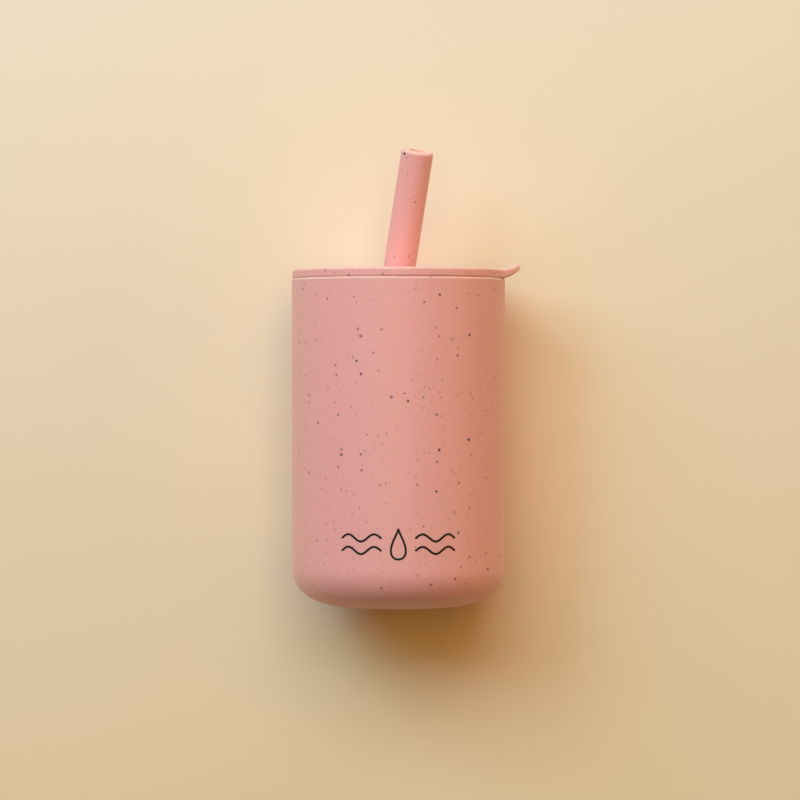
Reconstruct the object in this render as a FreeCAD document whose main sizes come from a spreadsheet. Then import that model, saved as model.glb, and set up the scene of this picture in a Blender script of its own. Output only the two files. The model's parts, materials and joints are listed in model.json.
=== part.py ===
"""Toddler's straw cup: a moulded silicone beaker, a push-in silicone lid with a lifting tab, and a
straight silicone straw that leans in the lid's soft sleeve.

Millimetres, +Z up. The origin is the centre of the base, on the plane that the cup stands on. The
lid's tab points along +X. The straw leans between +X and -Y, and its foot is in the far corner.
"""

import FreeCAD, Part

import math
import os
import sys

import Sketcher
from FreeCAD import Vector

# Driving sizes in millimetres and degrees: alias, value, meaning.
SIZES = [
    ("cup_diameter", 66.0, "outside diameter at the rim"),
    ("cup_height", 101.7, "base to rim"),
    ("wall", 3.0, "side wall"),
    ("floor_thick", 4.0, "base wall"),
    ("draft", 0.17, "angle at which the side wall opens towards the rim"),
    ("heel_radius", 10.1, "outside corner between the side and the sole"),
    ("sole_radius", 29.6, "slow curve between that corner and the flat of the base"),
    ("sole_turn", 24.4, "angle that the slow curve turns through"),
    ("inner_corner", 8.0, "inside corner between wall and floor"),
    ("rim_outer_round", 0.6, "rim, outside edge"),
    ("rim_inner_round", 1.0, "rim, inside edge, which leads the lid in"),
    ("base_ring_inset", 5.5, "edge of the base's flat to the middle of its ring groove"),
    ("base_ring_round", 0.5, "section radius of the ring groove"),
    ("lid_thick", 2.85, "the lid's plate"),
    ("lid_inset", 0.2, "how far the plate's edge stays inside the rim's"),
    ("lid_top_round", 0.85, "upper edge of the plate and the tab"),
    ("lid_under_round", 0.4, "lower edge of the plate and the tab"),
    ("tab_reach", 4.9, "how far the tab stands out past the plate"),
    ("tab_radius", 10.0, "round end of the tab, seen from above"),
    ("tab_blend", 3.0, "hollow corner where the tab leaves the plate"),
    ("tab_top_start", 0.8, "the upper side curls up from this far inside the plate's edge"),
    ("tab_top_rise", 2.74, "how far the upper side has curled up at the tab's end"),
    ("tab_under_start", 2.2, "the lower side curls up from this far inside the plate's edge"),
    ("tab_under_rise", 2.8, "how far the lower side has curled up at the tab's end"),
    ("trim_margin", 0.4, "how far the outlines that trim the tab run out past it"),
    ("plug_depth", 8.0, "plug ring below the plate"),
    ("plug_wall", 2.4, "plug ring's wall"),
    ("plug_gap", 0.5, "plug ring to the cup's wall"),
    ("plug_round", 0.7, "lower edges of the plug ring and the sleeve"),
    ("root_round", 1.2, "hollow corners under the plate"),
    ("bead_gap", 0.08, "sealing beads to the cup's wall"),
    ("bead_round", 0.8, "section radius of a sealing bead"),
    ("bead_first", 2.6, "plate to the first bead"),
    ("bead_pitch", 3.0, "first bead to the second"),
    ("sleeve_depth", 4.5, "soft sleeve round the straw, below the plate"),
    ("sleeve_wall", 2.0, "least wall of the sleeve"),
    ("hole_round", 0.4, "both mouths of the straw's hole"),
    ("straw_outer", 9.95, "outside diameter of the straw"),
    ("straw_bore", 4.8, "bore of the straw"),
    ("straw_length", 136.8, "end to end"),
    ("straw_lip", 0.9, "outer edge at the drinking end"),
    ("straw_mouth_round", 0.4, "inner edge at the drinking end"),
    ("straw_foot_round", 0.3, "both edges at the foot"),
    ("straw_fit", 0.05, "running clearance round the straw in the lid"),
    ("straw_wall_gap", 0.5, "the straw's foot to the inside corner of the cup"),
    ("foot_turn", 18.7, "how far down the inside corner the foot reaches, from the wall's end"),
    ("lean_heading", 51.6, "which way the straw leans, from +X towards -Y"),
]

# What follows from the driving sizes: name, formula.
DERIVED = [
    ("rim_radius", "Sizes.cup_diameter / 2"),
    ("mouth_radius", "Derived.rim_radius - Sizes.wall"),
    ("slope", "tan(Sizes.draft * 1deg)"),
    ("heel_z", "Sizes.sole_radius - (Sizes.sole_radius - Sizes.heel_radius) * cos(Sizes.sole_turn * 1deg)"),
    ("heel_top_z", "Derived.heel_z - Sizes.heel_radius * sin(Sizes.draft * 1deg)"),
    ("heel_top_x", "Derived.rim_radius - (Sizes.cup_height - Derived.heel_top_z) * Derived.slope"),
    ("heel_x", "Derived.heel_top_x - Sizes.heel_radius * cos(Sizes.draft * 1deg)"),
    ("sole_x", "Derived.heel_x - (Sizes.sole_radius - Sizes.heel_radius) * sin(Sizes.sole_turn * 1deg)"),
    ("sole_end_x", "Derived.sole_x + Sizes.sole_radius * sin(Sizes.sole_turn * 1deg)"),
    ("sole_end_z", "Sizes.sole_radius * (1 - cos(Sizes.sole_turn * 1deg))"),
    ("corner_z", "Sizes.floor_thick + Sizes.inner_corner"),
    ("corner_top_z", "Derived.corner_z - Sizes.inner_corner * sin(Sizes.draft * 1deg)"),
    ("corner_top_x", "Derived.mouth_radius - (Sizes.cup_height - Derived.corner_top_z) * Derived.slope"),
    ("corner_x", "Derived.corner_top_x - Sizes.inner_corner * cos(Sizes.draft * 1deg)"),
    ("plate_radius", "Derived.rim_radius - Sizes.lid_inset"),
    ("plug_radius", "Derived.mouth_radius - Sizes.plug_gap"),
    ("tab_tip", "Derived.plate_radius + Sizes.tab_reach"),
    ("tab_x", "Derived.tab_tip - Sizes.tab_radius"),
    ("blank_height", "Sizes.lid_thick + Sizes.tab_top_rise * 2"),
    ("past_tab", "Derived.tab_tip + Sizes.trim_margin"),
    ("top_curl_x", "Derived.plate_radius - Sizes.tab_top_start"),
    ("under_curl_x", "Derived.plate_radius - Sizes.tab_under_start"),
    ("top_run", "Derived.tab_tip - Derived.top_curl_x"),
    ("top_curl", "(Derived.top_run ^ 2 + Sizes.tab_top_rise ^ 2) / (2 * Sizes.tab_top_rise)"),
    ("under_run", "Derived.tab_tip - Derived.under_curl_x"),
    ("under_curl", "(Derived.under_run ^ 2 + Sizes.tab_under_rise ^ 2) / (2 * Sizes.tab_under_rise)"),
    ("pivot_z", "Sizes.cup_height + Sizes.lid_thick / 2"),
    ("foot_x", "Derived.corner_x + (Sizes.inner_corner - Sizes.straw_wall_gap) * cos(Sizes.foot_turn * 1deg)"),
    ("foot_z", "Derived.corner_z - (Sizes.inner_corner - Sizes.straw_wall_gap) * sin(Sizes.foot_turn * 1deg)"),
    ("foot_span", "sqrt(Derived.foot_x ^ 2 + (Derived.pivot_z - Derived.foot_z) ^ 2)"),
    ("below_pivot", "sqrt(Derived.foot_span ^ 2 - (Sizes.straw_outer / 2) ^ 2)"),
    (
        "lean",
        "(atan(Derived.foot_x / (Derived.pivot_z - Derived.foot_z))"
        " - asin(Sizes.straw_outer / 2 / Derived.foot_span)) / 1deg",
    ),
    ("straw_wall", "(Sizes.straw_outer - Sizes.straw_bore) / 2"),
    ("hole_radius", "Sizes.straw_outer / 2 + Sizes.straw_fit"),
    (
        "sleeve_radius",
        "Derived.hole_radius / cos(Derived.lean * 1deg) + Sizes.sleeve_wall"
        " + (Sizes.sleeve_depth + Sizes.lid_thick / 2) * tan(Derived.lean * 1deg)",
    ),
]

# The straw crosses the lid's axis half way through the plate. This is its turn there.
LEAN = (
    "rotation(vector(sin(Sizes.lean_heading * 1deg); cos(Sizes.lean_heading * 1deg); 0);"
    " Derived.lean * 1deg)"
)

LEFT, RIGHT = 1, -1  # the side of its way that an arc's centre is on
CLOSE = 0.005  # points nearer than this, in millimetres, are in one place


def make_sizes(doc):
    """The driving sizes in a spreadsheet, and what follows from them in a variable set."""
    sheet = doc.addObject("Spreadsheet::Sheet", "Sizes")
    for row, (alias, value, meaning) in enumerate(SIZES, start=1):
        sheet.set(f"A{row}", meaning)
        sheet.set(f"B{row}", str(value))
        sheet.setAlias(f"B{row}", alias)
    doc.recompute()
    derived = doc.addObject("App::VarSet", "Derived")
    for name, formula in DERIVED:
        derived.addProperty("App::PropertyFloat", name)
        derived.setExpression(name, formula)
        doc.recompute()


class Drawing:
    """A sketch on one of a body's origin planes, with every dimension bound to a formula."""

    def __init__(self, body, name, role):
        self.derived = body.Document.Derived
        self.sketch = body.newObject("Sketcher::SketchObject", name)
        plane = next(feature for feature in body.Origin.OriginFeatures if feature.Role == role)
        self.sketch.AttachmentSupport = [(plane, "")]
        self.sketch.MapMode = "FlatFace"

    def number(self, formula):
        """What a formula comes to now."""
        value = self.derived.evalExpression(formula)
        return float(getattr(value, "Value", value))

    def point(self, x, y):
        return Vector(self.number(x), self.number(y), 0)

    def constrain(self, kind, where, formula):
        """One driving dimension."""
        index = self.sketch.addConstraint(Sketcher.Constraint(kind, *where, self.number(formula)))
        self.sketch.setExpression(f"Constraints[{index}]", formula)

    def place(self, vertex, x, y):
        """Fixes a vertex at formulas of its distances from the origin. "0" keeps it on an axis."""
        for kind, formula, axis in (("DistanceX", x, -2), ("DistanceY", y, -1)):
            if formula == "0":
                self.sketch.addConstraint(Sketcher.Constraint("PointOnObject", *vertex, axis))
            else:
                self.constrain(kind, vertex, formula)

    def circle(self, x, y, radius):
        circle = Part.Circle(self.point(x, y), Vector(0, 0, 1), self.number(radius))
        edge = self.sketch.addGeometry(circle, False)
        self.constrain("Radius", (edge,), radius)
        self.place((edge, 3), x, y)

    def outline(self, *corners):
        """A closed outline. A corner is its x and y, then for an arc to the next corner the radius
        and the side that the arc's centre is on: LEFT or RIGHT of the way along it."""
        points = [self.point(corner[0], corner[1]) for corner in corners]
        count = len(corners)
        first = self.sketch.GeometryCount
        ends = []
        for i, corner in enumerate(corners):
            start, end = points[i], points[(i + 1) % count]
            if len(corner) == 2:
                self.sketch.addGeometry(Part.LineSegment(start, end), False)
                ends.append((1, 2))
            else:
                self.sketch.addGeometry(arc(start, end, self.number(corner[2]), corner[3]), False)
                ends.append((1, 2) if corner[3] == LEFT else (2, 1))
        for i, corner in enumerate(corners):
            edge, before = first + i, first + (i - 1) % count
            meet = (before, ends[i - 1][1], edge, ends[i][0])
            self.sketch.addConstraint(Sketcher.Constraint("Coincident", *meet))
            self.place((edge, ends[i][0]), corner[0], corner[1])
            if len(corner) > 2:
                self.constrain("Radius", (edge,), corner[2])


def arc(start, end, radius, side):
    """The short arc between two points, with its centre to the left or right of the way along it."""
    chord = end - start
    sideways = Vector(-chord.y, chord.x, 0).normalize() * side
    centre = (start + end) / 2 + sideways * math.sqrt(radius**2 - (chord.Length / 2) ** 2)
    first, last = (start, end) if side == LEFT else (end, start)
    angles = [math.atan2(point.y - centre.y, point.x - centre.x) for point in (first, last)]
    if angles[1] < angles[0]:
        angles[1] += 2 * math.pi
    return Part.ArcOfCircle(Part.Circle(centre, Vector(0, 0, 1), radius), *angles)


def new_body(doc, name, label):
    body = doc.addObject("PartDesign::Body", name)
    body.Label = label
    return body


def add_feature(drawing, kind, name, bound=None, **settings):
    """A feature from a drawing. It has to change the body's volume."""
    sketch = drawing.sketch
    body = sketch.getParentGeoFeatureGroup()
    before = body.Shape.Volume if body.Tip else 0.0
    feature = body.newObject("PartDesign::" + kind, name)
    feature.Profile = sketch
    for key, value in settings.items():
        setattr(feature, key, value)
    for key, formula in (bound or {}).items():
        feature.setExpression(key, formula)
    body.Document.recompute()
    if abs(body.Shape.Volume - before) < 0.01:
        sys.exit(f"{name} changes nothing")
    return feature


def turn(drawing, kind, name):
    """A full turn of a drawing round the body's Z axis."""
    add_feature(drawing, kind, name, ReferenceAxis=(drawing.sketch, ["V_Axis"]), Angle=360.0)


def round_edges(body, name, radius, *tests):
    """Fillets the edges that lie wholly within one of the tests. Each test has to find an edge."""
    base = body.Tip
    paths = [edge.discretize(9) for edge in base.Shape.Edges]
    names = set()
    for test in tests:
        found = {f"Edge{i}" for i, path in enumerate(paths, start=1) if all(map(test, path))}
        if not found:
            sys.exit(f"{name} finds no edge")
        names |= found
    feature = body.newObject("PartDesign::Fillet", name)
    feature.Base = (base, sorted(names))
    feature.setExpression("Radius", radius)
    body.Document.recompute()


def same(first, second):
    return abs(first - second) < CLOSE


def across(point):
    """Distance from the Z axis."""
    return math.hypot(point.x, point.y)


def on_ring(radius, height):
    """A test for the edges that lie on a level circle round the Z axis."""
    def chosen(point):
        return same(across(point), radius) and same(point.z, height)

    return chosen


def make_cup(doc):
    """Beaker: drafted wall, heel of two arcs, flat base with a moulded ring, rounded rim."""
    body = new_body(doc, "CupBody", "cup_body")
    section = Drawing(body, "CupSection", "XZ_Plane")
    section.outline(
        ("0", "0"),
        ("Derived.sole_x", "0", "Sizes.sole_radius", LEFT),
        ("Derived.sole_end_x", "Derived.sole_end_z", "Sizes.heel_radius", LEFT),
        ("Derived.heel_top_x", "Derived.heel_top_z"),
        ("Derived.rim_radius", "Sizes.cup_height"),
        ("Derived.mouth_radius", "Sizes.cup_height"),
        ("Derived.corner_top_x", "Derived.corner_top_z", "Sizes.inner_corner", RIGHT),
        ("Derived.corner_x", "Sizes.floor_thick"),
        ("0", "Sizes.floor_thick"),
    )
    turn(section, "Revolution", "CupTurned")
    height = doc.Sizes.cup_height
    round_edges(body, "RimOutside", "Sizes.rim_outer_round", on_ring(doc.Derived.rim_radius, height))
    round_edges(body, "RimInside", "Sizes.rim_inner_round", on_ring(doc.Derived.mouth_radius, height))
    ring = Drawing(body, "BaseRing", "XZ_Plane")
    ring.circle("Derived.sole_x - Sizes.base_ring_inset", "0", "Sizes.base_ring_round")
    turn(ring, "Groove", "BaseRingGroove")
    return body


def curl_rise(start, curl):
    """Formula of how far one side of the tab has curled up where it is trimmed."""
    return f"{curl} - sqrt({curl} ^ 2 - (Derived.past_tab - {start}) ^ 2)"


def on_curl(body, level, start, curl):
    """A test for the edges round the plate and the tab that lie in one side of the curled plate."""
    plate_radius = body.Document.Derived.plate_radius

    def chosen(point):
        risen = curl - math.sqrt(curl**2 - max(point.x - start, 0) ** 2)
        return same(point.z, level + risen) and across(point) > plate_radius - CLOSE

    return chosen


def shape_plate(body):
    """A blank of the plate and the tab, cut above and below to the curl, with its edges rounded."""
    sizes, derived = body.Document.Sizes, body.Document.Derived
    for name, x, radius in (
        ("Plate", "0", "Derived.plate_radius"),
        ("Tab", "Derived.tab_x", "Sizes.tab_radius"),
    ):
        plan = Drawing(body, name + "Plan", "XY_Plane")
        plan.circle(x, "0", radius)
        add_feature(
            plan, "Pad", name + "Blank", {"Length": "Derived.blank_height * 2"}, SideType="Symmetric"
        )

    def where_tab_leaves(point):
        from_tab = math.hypot(point.x - derived.tab_x, point.y)
        return same(across(point), derived.plate_radius) and same(from_tab, sizes.tab_radius)

    round_edges(body, "TabBlend", "Sizes.tab_blend", where_tab_leaves)

    beyond = "(Derived.blank_height + Sizes.lid_thick)"
    for name, level, start, curl, far in (
        ("CurlAbove", "Sizes.lid_thick", "Derived.top_curl_x", "Derived.top_curl", beyond),
        ("CurlBelow", "0", "Derived.under_curl_x", "Derived.under_curl", "-" + beyond),
    ):
        side = Drawing(body, name, "XZ_Plane")
        side.outline(
            ("-Derived.past_tab", level),
            (start, level, curl, LEFT),
            ("Derived.past_tab", f"{level} + {curl_rise(start, curl)}"),
            ("Derived.past_tab", far),
            ("-Derived.past_tab", far),
        )
        add_feature(side, "Pocket", name + "Cut", Type="ThroughAll", SideType="Symmetric")

    upper = on_curl(body, sizes.lid_thick, derived.top_curl_x, derived.top_curl)
    lower = on_curl(body, 0, derived.under_curl_x, derived.under_curl)
    round_edges(body, "UpperRound", "Sizes.lid_top_round", upper)
    round_edges(body, "LowerRound", "Sizes.lid_under_round", lower)


def shape_underside(body):
    """The plug ring, its beads and the straw's sleeve, all turned round the lid's axis."""
    sizes, derived = body.Document.Sizes, body.Document.Derived
    section = Drawing(body, "UndersideSection", "XZ_Plane")
    inside_plate = "Sizes.lid_thick / 2"
    for inner, outer, depth in (
        ("Derived.plug_radius - Sizes.plug_wall", "Derived.plug_radius", "-Sizes.plug_depth"),
        ("0", "Derived.sleeve_radius", "-Sizes.sleeve_depth"),
    ):
        section.outline((inner, depth), (outer, depth), (outer, inside_plate), (inner, inside_plate))
    turn(section, "Revolution", "PlugAndSleeve")

    beads = Drawing(body, "Beads", "XZ_Plane")
    for depth in ("Sizes.bead_first", "(Sizes.bead_first + Sizes.bead_pitch)"):
        wall_x = f"Derived.mouth_radius - {depth} * Derived.slope"
        beads.circle(f"{wall_x} - Sizes.bead_gap - Sizes.bead_round", f"-{depth}", "Sizes.bead_round")
    turn(beads, "Revolution", "SealingBeads")

    plug_inside = derived.plug_radius - sizes.plug_wall
    for name, radius, rings in (
        (
            "LowerEnds",
            "Sizes.plug_round",
            (
                on_ring(derived.plug_radius, -sizes.plug_depth),
                on_ring(plug_inside, -sizes.plug_depth),
                on_ring(derived.sleeve_radius, -sizes.sleeve_depth),
            ),
        ),
        ("Roots", "Sizes.root_round", (on_ring(plug_inside, 0), on_ring(derived.sleeve_radius, 0))),
    ):
        round_edges(body, name, radius, *rings)


def cut_straw_hole(body):
    """The leaning hole through the plate and the sleeve, with soft mouths."""
    sizes, derived = body.Document.Sizes, body.Document.Derived
    section = Drawing(body, "HoleSection", "XY_Plane")
    section.sketch.setExpression(
        "AttachmentOffset", f"placement(vector(0; 0; Sizes.lid_thick / 2); {LEAN})"
    )
    section.circle("0", "0", "Derived.hole_radius")
    add_feature(section, "Pocket", "StrawHole", Type="ThroughAll", SideType="Symmetric")
    reach = derived.sleeve_radius - sizes.sleeve_wall + CLOSE

    def mouth(height):
        return lambda point: same(point.z, height) and across(point) < reach

    round_edges(body, "HoleMouths", "Sizes.hole_round", mouth(sizes.lid_thick), mouth(-sizes.sleeve_depth))


def make_lid(doc):
    """Lid: plate and curled tab, plug ring with two sealing beads, sleeve with a leaning hole."""
    body = new_body(doc, "Lid", "lid")
    body.setExpression("Placement.Base.z", "Sizes.cup_height")
    shape_plate(body)
    shape_underside(body)
    cut_straw_hole(body)
    return body


def make_straw(doc):
    """Straw: a tube turned round its own Z axis, with a soft lip at the drinking end."""
    body = new_body(doc, "Straw", "straw")
    section = Drawing(body, "StrawSection", "XZ_Plane")
    foot, tip = "-Derived.below_pivot", "Sizes.straw_length - Derived.below_pivot"
    inner, outer = "Sizes.straw_bore / 2", "Sizes.straw_outer / 2"
    section.outline((inner, foot), (outer, foot), (outer, tip), (inner, tip))
    turn(section, "Revolution", "StrawTube")
    for name, radius, end, sides in (
        ("LipOutside", "Sizes.straw_lip", tip, (outer,)),
        ("LipInside", "Sizes.straw_mouth_round", tip, (inner,)),
        ("FootEdge", "Sizes.straw_foot_round", foot, (inner, outer)),
    ):
        edges = [on_ring(section.number(side), section.number(end)) for side in sides]
        round_edges(body, name, f"min({radius}; Derived.straw_wall * 0.47)", *edges)
    body.setExpression("Placement", f"placement(vector(0; 0; Derived.pivot_z); {LEAN})")
    return body


def write_parts(doc, bodies):
    """Checks every object and solid, then writes one file for each body."""
    doc.recompute()
    for item in doc.Objects:
        if {"Invalid", "Error"} & set(item.State):
            sys.exit(f"{item.Label}: {item.State}")
    os.makedirs("parts", exist_ok=True)
    for body in bodies:
        shape = body.Shape
        if shape.isNull() or not shape.isValid() or len(shape.Solids) != 1:
            sys.exit(f"{body.Label} isn't one sound solid")
        shape.exportStep(f"parts/{body.Label}.step")


def main():
    doc = FreeCAD.newDocument("StrawCup")
    make_sizes(doc)
    write_parts(doc, [make_cup(doc), make_lid(doc), make_straw(doc)])


main()
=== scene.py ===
"""Looks of the straw cup: speckled silicone, a printed motif, and the pale surface that it lies on.

Metres, in the CAD frame: +Z up, the base at the origin, the motif towards -Y. The photograph looks
straight down on a cup that lies on its back, so the surface is the upright plane behind the cup.
"""

import json
import math

import bmesh
import bpy
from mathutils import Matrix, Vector


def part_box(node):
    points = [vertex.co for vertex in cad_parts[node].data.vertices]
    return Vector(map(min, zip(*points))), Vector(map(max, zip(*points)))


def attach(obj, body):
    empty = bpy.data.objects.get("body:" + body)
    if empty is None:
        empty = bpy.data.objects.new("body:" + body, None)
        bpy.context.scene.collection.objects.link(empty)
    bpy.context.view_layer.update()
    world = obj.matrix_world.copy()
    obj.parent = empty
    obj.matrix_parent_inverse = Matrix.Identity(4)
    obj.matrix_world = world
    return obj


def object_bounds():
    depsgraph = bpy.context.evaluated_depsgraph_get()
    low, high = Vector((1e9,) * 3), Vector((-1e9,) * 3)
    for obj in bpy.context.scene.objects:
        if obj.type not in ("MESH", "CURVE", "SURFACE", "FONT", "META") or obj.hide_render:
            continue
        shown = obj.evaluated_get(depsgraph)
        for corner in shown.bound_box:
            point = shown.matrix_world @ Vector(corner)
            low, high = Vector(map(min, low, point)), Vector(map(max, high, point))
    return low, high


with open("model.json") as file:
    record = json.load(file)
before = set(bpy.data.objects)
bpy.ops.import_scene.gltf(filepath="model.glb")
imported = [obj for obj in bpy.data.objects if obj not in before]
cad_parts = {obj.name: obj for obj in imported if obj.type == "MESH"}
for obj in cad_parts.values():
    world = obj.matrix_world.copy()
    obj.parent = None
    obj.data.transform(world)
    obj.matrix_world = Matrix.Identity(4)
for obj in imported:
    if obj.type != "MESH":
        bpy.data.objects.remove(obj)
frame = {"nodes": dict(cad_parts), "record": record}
cad_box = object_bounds()

MM = 0.001


def set_inputs(node, **values):
    """Sets a node's sockets by name. An underscore stands for a space."""
    for name, value in values.items():
        node.inputs[name.replace("_", " ")].default_value = value
    return node


class Nodes:
    """A material's node tree, built by short calls."""

    def __init__(self, name):
        self.material = bpy.data.materials.new(name)
        self.material.use_nodes = True
        self.tree = self.material.node_tree
        self.tree.nodes.clear()
        self.output = self.tree.nodes.new("ShaderNodeOutputMaterial")

    def add(self, kind, links=None, settings=None, **values):
        """A node with some sockets set and others linked."""
        node = self.tree.nodes.new("ShaderNode" + kind)
        for key, value in (settings or {}).items():
            setattr(node, key, value)
        set_inputs(node, **values)
        for socket, source in (links or {}).items():
            self.tree.links.new(source, node.inputs[socket])
        return node

    def math(self, operation, *terms):
        """A math node. A term is a number or a socket."""
        node = self.add("Math", settings={"operation": operation})
        for i, term in enumerate(terms):
            if isinstance(term, (int, float)):
                node.inputs[i].default_value = term
            else:
                self.tree.links.new(term, node.inputs[i])
        return node.outputs[0]

    def mix_colour(self, amount, under, over):
        """over laid on under by amount. Each colour is a socket or a linear (r, g, b)."""
        node = self.add("Mix", settings={"data_type": "RGBA"})
        self.tree.links.new(amount, node.inputs[0])
        for index, colour in ((6, under), (7, over)):
            if isinstance(colour, tuple):
                node.inputs[index].default_value = (*colour, 1.0)
            else:
                self.tree.links.new(colour, node.inputs[index])
        return node.outputs[2]


def linear(red, green, blue):
    """A colour given as 0-255 screen values, in scene-linear light."""
    return tuple(
        c / 12.92 if c <= 0.04045 else ((c + 0.055) / 1.055) ** 2.4
        for c in (red / 255, green / 255, blue / 255)
    )


# ---------------------------------------------------------------- speckled silicone

SILICONE = (0.86, 0.40, 0.41)
# Lighter pink for wear at the foot, and for wear and a painted highlight on the upper outer edges, where
# light from above falls.
WORN_AND_HIGHLIGHT = (0.96, 0.62, 0.58)
WORN_AND_HIGHLIGHT_AMOUNT = 0.7
# Metres between the patterns of one piece and the next, and of one layer of flecks and the next.
PIECE_SHIFT = Vector((0.1, 0.23, 0.31))
LAYER_SHIFT = Vector((0.37, 0.71, 0.13))
# Flecks in the silicone: millimetres between them, largest radius in millimetres, share that are
# kept, softness of the edge from 0 to 1, how strongly each tints, colour.
FLECKS = (
    (2.6, 0.90, 0.60, 1.0, 0.26, linear(92, 90, 104)),
    (1.2, 0.34, 0.60, 0.8, 0.46, linear(112, 84, 90)),
    (1.9, 0.45, 0.55, 0.6, 0.85, linear(66, 70, 86)),
    (3.0, 0.70, 0.38, 0.5, 1.0, linear(16, 30, 48)),
)


def fleck_layer(nodes, place, crowding, layer, spacing, radius, kept, softness):
    """How much of a fleck covers each point: 0 to 1. A fleck is a rough ball inside the silicone."""
    moved = nodes.add("VectorMath", {0: place}, {"operation": "ADD"})
    moved.inputs[1].default_value = LAYER_SHIFT * layer
    cells = nodes.add(
        "TexVoronoi", {"Vector": moved.outputs[0]}, {"voronoi_dimensions": "3D"}, Scale=1 / (spacing * MM)
    )
    random = nodes.add("SeparateColor", {"Color": cells.outputs["Color"]})
    size = nodes.math("MULTIPLY_ADD", random.outputs["Red"], 0.6, 0.4)
    reach = nodes.math("MULTIPLY", size, radius / spacing)
    inner = nodes.math("MULTIPLY", reach, 1 - softness)
    cover = nodes.add(
        "MapRange",
        {"Value": cells.outputs["Distance"], "From Min": reach, "From Max": inner},
        {"interpolation_type": "SMOOTHSTEP"},
    )
    share = nodes.math("MULTIPLY", crowding, 2 * kept)
    keep = nodes.math("LESS_THAN", random.outputs["Green"], share)
    strength = nodes.math("MULTIPLY_ADD", random.outputs["Blue"], 0.6, 0.4)
    return nodes.math("MULTIPLY", nodes.math("MULTIPLY", cover.outputs[0], keep), strength)


def ramp(nodes, value, start, end):
    """0 up to start, 1 from end on, smooth between."""
    node = nodes.add(
        "MapRange", {"Value": value}, {"interpolation_type": "SMOOTHSTEP"}, From_Min=start, From_Max=end
    )
    return node.outputs[0]


def edge_wear_and_highlight(nodes, place, axis, top, radius):
    """How much wear and painted highlight each point gets: 1 on the upper end's outer edge, where light
    from above falls, for a part that stands along an axis.
    """
    along = nodes.add("VectorMath", {0: place}, {"operation": "DOT_PRODUCT"})
    along.inputs[1].default_value = axis
    level = nodes.add("VectorMath", {0: place}, {"operation": "MULTIPLY"})
    level.inputs[1].default_value = (1, 1, 0)
    across = nodes.add("VectorMath", {0: level.outputs[0]}, {"operation": "LENGTH"}).outputs["Value"]
    near_top = ramp(nodes, along.outputs["Value"], top - 1.0 * MM, top - 0.4 * MM)
    near_edge = ramp(nodes, across, radius - 0.9 * MM, radius - 0.3 * MM)
    return nodes.math("MULTIPLY", near_top, near_edge)


def silicone(name, number, axis, top, radius):
    """Matt moulded silicone: flecks in four sizes, faint cloudiness, lighter edges: wear at the foot,
    wear and a painted highlight on the upper edges.
    """
    nodes = Nodes(name)
    object_place = nodes.add("TexCoord").outputs["Object"]
    shift = nodes.add("VectorMath", {0: object_place}, {"operation": "ADD"})
    shift.inputs[1].default_value = PIECE_SHIFT * number
    place = shift.outputs[0]
    ragged = nodes.add("TexNoise", {"Vector": place}, Scale=1400.0, Detail=2.0)
    centred = nodes.add("VectorMath", {0: ragged.outputs["Color"]}, {"operation": "SUBTRACT"})
    centred.inputs[1].default_value = (0.5, 0.5, 0.5)
    pushed = nodes.add("VectorMath", {0: centred.outputs[0]}, {"operation": "SCALE"}, Scale=0.35 * MM)
    rough_place = nodes.add(
        "VectorMath", {0: place, 1: pushed.outputs[0]}, {"operation": "ADD"}
    ).outputs[0]

    cloud = nodes.add("TexNoise", {"Vector": place}, Scale=45.0, Detail=3.0)
    cloudy = nodes.math("MULTIPLY", cloud.outputs["Fac"], 0.12)
    colour = nodes.mix_colour(cloudy, SILICONE, tuple(c * 0.82 for c in SILICONE))
    crowding = nodes.add("TexNoise", {"Vector": place}, Scale=110.0, Detail=1.0).outputs["Fac"]
    for layer, (*shape, tint, shade) in enumerate(FLECKS, start=1):
        cover = fleck_layer(nodes, rough_place, crowding, layer, *shape)
        colour = nodes.mix_colour(nodes.math("MULTIPLY", cover, tint), colour, shade)

    patches = nodes.add("TexNoise", {"Vector": place}, Scale=400.0, Detail=2.0).outputs["Fac"]
    # Painted highlight: the upper outer edges are painted lighter, partly as wear and partly as light
    # from above. The foot is lighter from wear only.
    edge = edge_wear_and_highlight(nodes, object_place, axis, top, radius)
    height = nodes.add("SeparateXYZ", {"Vector": object_place}).outputs["Z"]
    foot = nodes.math("MULTIPLY", ramp(nodes, height, 0.35 * MM, 0.05 * MM), 0.5)
    wear_and_highlight = nodes.math("MULTIPLY", nodes.math("MAXIMUM", edge, foot), ramp(nodes, patches, 0.1, 0.6))
    colour = nodes.mix_colour(nodes.math("MULTIPLY", wear_and_highlight, WORN_AND_HIGHLIGHT_AMOUNT), colour, WORN_AND_HIGHLIGHT)

    grain = nodes.add("TexNoise", {"Vector": place}, Scale=2600.0, Detail=2.0)
    waves = nodes.add("TexNoise", {"Vector": place}, Scale=60.0, Detail=1.0)
    fine = nodes.add("Bump", {"Height": grain.outputs["Fac"]}, Strength=0.10, Distance=0.02 * MM)
    bump = nodes.add(
        "Bump",
        {"Height": waves.outputs["Fac"], "Normal": fine.outputs[0]},
        Strength=0.25,
        Distance=0.5 * MM,
    )
    gloss = nodes.math("MULTIPLY_ADD", grain.outputs["Fac"], 0.14, 0.40)
    gloss = nodes.math("MULTIPLY_ADD", wear_and_highlight, -0.06, gloss)
    shader = nodes.add(
        "BsdfPrincipled",
        {"Base Color": colour, "Roughness": gloss, "Normal": bump.outputs[0]},
        Subsurface_Weight=0.25,
        Subsurface_Radius=(1.0, 0.45, 0.35),
        Subsurface_Scale=1.6 * MM,
        IOR=1.41,
        Sheen_Weight=0.3,
        Sheen_Roughness=0.45,
        Sheen_Tint=(1.0, 0.8, 0.65, 1.0),
    )
    nodes.tree.links.new(shader.outputs[0], nodes.output.inputs["Surface"])
    return nodes.material


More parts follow.
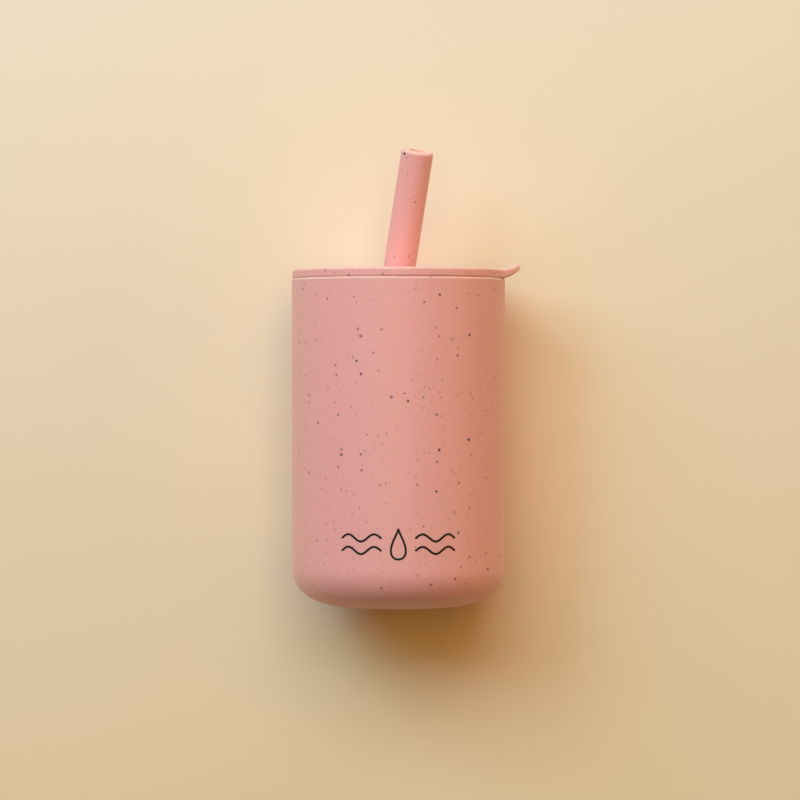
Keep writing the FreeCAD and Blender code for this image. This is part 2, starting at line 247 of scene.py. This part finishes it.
def points_of(node):
    """A piece's vertices, in the frame."""
    return [node.matrix_world @ vertex.co for vertex in node.data.vertices]


def top_of(points, axis):
    """How far along an axis the points reach."""
    return max(point.dot(axis) for point in points)


def paint():
    """Gives each part its silicone. The lid's own top is found behind, away from its raised tab.

    The whole of the straw's mouth gets the lighter wear and painted highlight, so its outer edge counts
    from a radius of 0.
    """
    upright = Vector((0, 0, 1))
    joints = frame["record"]["behaviour"]["joints"]
    lean = Vector(next(joint["axis"] for joint in joints if joint["name"] == "straw_slide"))
    parts = {name: points_of(frame["nodes"][name]) for name in ("cup_body", "lid", "straw")}
    behind = [point for point in parts["lid"] if point.x < 0]
    cup_radius = max(point.x for point in parts["cup_body"])
    lid_radius = -min(point.x for point in behind)
    for number, (name, axis, top, radius) in enumerate(
        (
            ("cup_body", upright, top_of(parts["cup_body"], upright), cup_radius),
            ("lid", upright, top_of(behind, upright), lid_radius),
            ("straw", lean, top_of(parts["straw"], lean), 0),
        ),
        start=1,
    ):
        node = frame["nodes"][name]
        node.data.materials.clear()
        node.data.materials.append(silicone(name + "_silicone", number, axis, top, radius))


paint()


# ---------------------------------------------------------------- printed motif

INK_HALF_WIDTH = 0.33 * MM
INK_HEIGHT = 0.03 * MM  # how far a line of ink stands out of the cup
INK_ROOT = 0.12 * MM  # how far it reaches in, so that no gap shows on the faceted wall


def drop_outline(width, height, count=56):
    """Points round a falling drop: a pointed top, a round bottom. The middle is at (0, 0)."""
    points = []
    for i in range(count):
        turn = 2 * math.pi * i / count
        narrow = math.sin(turn / 2) ** 1.6
        points.append((width / 2 * math.sin(turn) * narrow, height / 2 * math.cos(turn)))
    return points


def wave(start, end, height, humps, count=60):
    """Points along a level wavy line."""
    points = []
    for i in range(count + 1):
        along = i / count
        points.append((start + (end - start) * along, height * math.sin(2 * math.pi * humps * along)))
    return points


def stroke(mesh, points, closed, on_cup):
    """A line of printed ink with round ends, as a closed solid that stands just proud of the cup."""
    count = len(points)
    paths = [Vector(point) for point in points]
    sections = []
    for i, here in enumerate(paths):
        before = paths[i - 1] if closed or i else here
        after = paths[(i + 1) % count] if closed or i < count - 1 else here
        along = (after - before).normalized()
        sections.append((here, along, INK_HALF_WIDTH))
    if not closed:
        sections = rounded_end(sections[0], -1) + sections[1:-1] + rounded_end(sections[-1], 1)
    rings = []
    for here, along, half in sections:
        side = Vector((-along.y, along.x)) * half
        left, right = here + side, here - side
        rings.append(
            [
                mesh.verts.new(on_cup(left, -INK_ROOT)),
                mesh.verts.new(on_cup(left, INK_HEIGHT)),
                mesh.verts.new(on_cup(here, INK_HEIGHT * 1.15)),
                mesh.verts.new(on_cup(right, INK_HEIGHT)),
                mesh.verts.new(on_cup(right, -INK_ROOT)),
            ]
        )
    pairs = list(zip(rings, rings[1:]))
    if closed:
        pairs.append((rings[-1], rings[0]))
    for first, second in pairs:
        for k in range(5):
            mesh.faces.new((first[k], first[(k + 1) % 5], second[(k + 1) % 5], second[k]))
    if not closed:
        mesh.faces.new(rings[0][::-1])
        mesh.faces.new(rings[-1])


def rounded_end(section, sign, steps=5):
    """Sections that narrow to a round end beyond an open line's first (-1) or last (+1) point."""
    here, along, half = section
    ends = []
    for i in range(steps + 1):
        turn = math.pi / 2 * i / (steps + 0.25)
        centre = here + along * (sign * half * math.sin(turn))
        ends.append((centre, along, half * math.cos(turn)))
    return ends[::-1] if sign < 0 else ends


def make_motif():
    """Two level waves with a drop between them, printed low on the front."""
    low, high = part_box("cup_body")
    height = 0.2 * (high.z - low.z)
    rim_radius = (high.y - low.y) / 2
    wall = [point for point in points_of(frame["nodes"]["cup_body"]) if low.z < point.z < high.z / 2]
    foot = max(wall, key=lambda point: point.x - abs(point.z - height))
    draft = (rim_radius - foot.x) / (high.z - foot.z)

    def on_cup(point, proud):
        z = height + point.y
        radius = rim_radius - (high.z - z) * draft + proud
        turn = point.x / rim_radius
        return (radius * math.sin(turn), -radius * math.cos(turn), z)

    mesh = bmesh.new()
    drop_width, drop_height = 6.6 * MM, 9.2 * MM
    stroke(mesh, drop_outline(drop_width, drop_height), True, on_cup)
    gap, reach, swing = 5.4 * MM, 18.0 * MM, 1.1 * MM
    for side in (-1, 1):
        for level in (-1.9 * MM, 1.9 * MM):
            line = [(side * x, y + level) for x, y in wave(gap, reach, swing, 1.5)]
            stroke(mesh, line, False, on_cup)
    bmesh.ops.recalc_face_normals(mesh, faces=mesh.faces)
    data = bpy.data.meshes.new("printed_motif")
    mesh.to_mesh(data)
    mesh.free()
    motif = bpy.data.objects.new("printed_motif", data)
    bpy.context.scene.collection.objects.link(motif)
    motif.data.materials.append(ink())
    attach(motif, "cup")


def ink():
    """Black pad-printed ink, a little uneven."""
    nodes = Nodes("printed_ink")
    place = nodes.add("TexCoord").outputs["Object"]
    uneven = nodes.add("TexNoise", {"Vector": place}, Scale=2500.0, Detail=3.0)
    colour = nodes.mix_colour(uneven.outputs["Fac"], linear(5, 4, 5), linear(14, 11, 12))
    gloss = nodes.math("MULTIPLY_ADD", uneven.outputs["Fac"], 0.2, 0.35)
    shader = nodes.add(
        "BsdfPrincipled", {"Base Color": colour, "Roughness": gloss}, Specular_IOR_Level=0.3
    )
    nodes.tree.links.new(shader.outputs[0], nodes.output.inputs["Surface"])
    return nodes.material


make_motif()


# ---------------------------------------------------------------- surface, light and camera

# Painted light falloff: the first tone, paler and bluer, is the surface as if better lit at the top. The
# second, warmer and darker, is painted shade at the bottom.
SURFACE = (0.92, 0.765, 0.64)  # past the straw
SURFACE_LOW_SHADE = (0.90, 0.705, 0.51)  # past the cup's base


def make_surface():
    """The pale surface that the cup lies on. It can't be seen from behind and casts no shadow."""
    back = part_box("cup_body")[1].y
    reach = 2.0
    data = bpy.data.meshes.new("surface")
    corners = [(x * reach, back, z * reach) for x, z in ((-1, -1), (1, -1), (1, 1), (-1, 1))]
    data.from_pydata(corners, [], [(0, 1, 2, 3)])
    surface = bpy.data.objects.new("surface", data)
    bpy.context.scene.collection.objects.link(surface)
    nodes = Nodes("pale_paper")
    place = nodes.add("TexCoord").outputs["Object"]
    # Painted light: the surface runs from the paler top tone down to the darker painted shade below.
    height = nodes.add("SeparateXYZ", {"Vector": place}).outputs["Z"]
    painted_falloff = nodes.add("MapRange", {"Value": height}, From_Min=0.19, From_Max=-0.06).outputs[0]
    colour = nodes.mix_colour(painted_falloff, SURFACE, SURFACE_LOW_SHADE)
    mottle = nodes.add("TexNoise", {"Vector": place}, Scale=25.0, Detail=6.0)
    amount = nodes.math("MULTIPLY", mottle.outputs["Fac"], 0.10)
    colour = nodes.mix_colour(amount, colour, tuple(c * 0.88 for c in SURFACE))
    fibres = nodes.add("TexNoise", {"Vector": place}, Scale=900.0, Detail=4.0)
    relief = nodes.add("Bump", {"Height": fibres.outputs["Fac"]}, Strength=0.25, Distance=0.1 * MM)
    paper = nodes.add("BsdfDiffuse", {"Color": colour, "Normal": relief.outputs[0]})
    clear = nodes.add("BsdfTransparent")
    behind = nodes.add("NewGeometry").outputs["Backfacing"]
    shadow = nodes.add("LightPath").outputs["Is Shadow Ray"]
    passes = nodes.math("MAXIMUM", behind, shadow)
    shown = nodes.add("MixShader", {0: passes, 1: paper.outputs[0], 2: clear.outputs[0]})
    nodes.tree.links.new(shown.outputs[0], nodes.output.inputs["Surface"])
    data.materials.append(nodes.material)


def aim(obj, place, target):
    """Puts a light or a camera in its place, turned to its target."""
    obj.location = place
    obj.rotation_euler = (Vector(target) - Vector(place)).to_track_quat("-Z", "Y").to_euler()


def from_camera_side(left, up):
    """Direction from the object: degrees to the left of the camera's axis and above it."""
    left, up = math.radians(left), math.radians(up)
    return Vector((-math.sin(left) * math.cos(up), -math.cos(left) * math.cos(up), math.sin(up)))


def area_light(name, way, target, distance, width, height, watts, colour):
    """A rectangular light that shines on the target from some way off."""
    light = bpy.data.lights.new(name, "AREA")
    light.shape = "RECTANGLE"
    light.size = width
    light.size_y = height
    light.energy = watts
    light.color = colour
    obj = bpy.data.objects.new(name, light)
    bpy.context.scene.collection.objects.link(obj)
    aim(obj, target + way * distance, target)


# Soft lights: name, degrees left of the camera's axis and above it, metres away, width and height
# in metres, watts, colour.
LIGHTS = (
    ("key", 10, 30, 1.3, 1.2, 0.7, 20.0, (0.46, 0.55, 0.50)),
    ("window", 42, 28, 1.3, 0.6, 0.7, 14.0, (0.135, 0.30, 0.40)),
    ("warm_right", -22, 28, 1.3, 0.6, 0.7, 16.0, (0.13, 0.03, 0.0)),
    ("overhead", 10, 78, 0.8, 1.2, 0.4, 11.5, (0.09, 0.13, 0.13)),
    ("front", 0, 3, 1.6, 0.8, 0.5, 22.0, (0.155, 0.115, 0.016)),
    ("side_left", 72, 12, 1.2, 0.5, 0.9, 14.0, (0.11, 0.05, 0.0)),
    ("side_right", -65, 5, 1.3, 0.7, 0.9, 20.0, (0.125, 0.085, 0.01)),
    ("back_fill", 200, 25, 1.3, 0.8, 0.8, 1.5, (1.0, 0.95, 0.9)),
)


def make_lights(middle):
    for name, left, up, *rest in LIGHTS:
        area_light(name, from_camera_side(left, up), middle, *rest)


def make_world():
    """Faint pink light from all round. The camera sees the surface's own tone behind the object."""
    world = bpy.data.worlds.new("studio")
    world.use_nodes = True
    tree = world.node_tree
    tree.nodes.clear()
    light = tree.nodes.new("ShaderNodeBackground")
    light.inputs["Color"].default_value = (0.065, 0.02, 0.025, 1.0)
    light.inputs["Strength"].default_value = 1.0
    seen = tree.nodes.new("ShaderNodeBackground")
    seen.inputs["Color"].default_value = (*SURFACE, 1.0)
    seen.inputs["Strength"].default_value = 1.0
    path = tree.nodes.new("ShaderNodeLightPath")
    mix = tree.nodes.new("ShaderNodeMixShader")
    output = tree.nodes.new("ShaderNodeOutputWorld")
    tree.links.new(path.outputs["Is Camera Ray"], mix.inputs[0])
    tree.links.new(light.outputs[0], mix.inputs[1])
    tree.links.new(seen.outputs[0], mix.inputs[2])
    tree.links.new(mix.outputs[0], output.inputs["Surface"])
    bpy.context.scene.world = world


def make_camera():
    """Level and straight on, at a little over half the cup's height, from a metre and a half."""
    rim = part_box("cup_body")[1].z
    camera = bpy.data.cameras.new("camera")
    camera.lens = 220.5
    camera.sensor_width = 36.0
    obj = bpy.data.objects.new("camera", camera)
    bpy.context.scene.collection.objects.link(obj)
    place = Vector((0.5 * MM, -1.517, 0.63 * rim))
    aim(obj, place, place + Vector((0, 1, 0)))
    bpy.context.scene.camera = obj


make_surface()
make_lights(Vector((0, 0, cad_box[1].z / 2)))
make_world()
make_camera()
bpy.context.scene.view_settings.view_transform = "Standard"
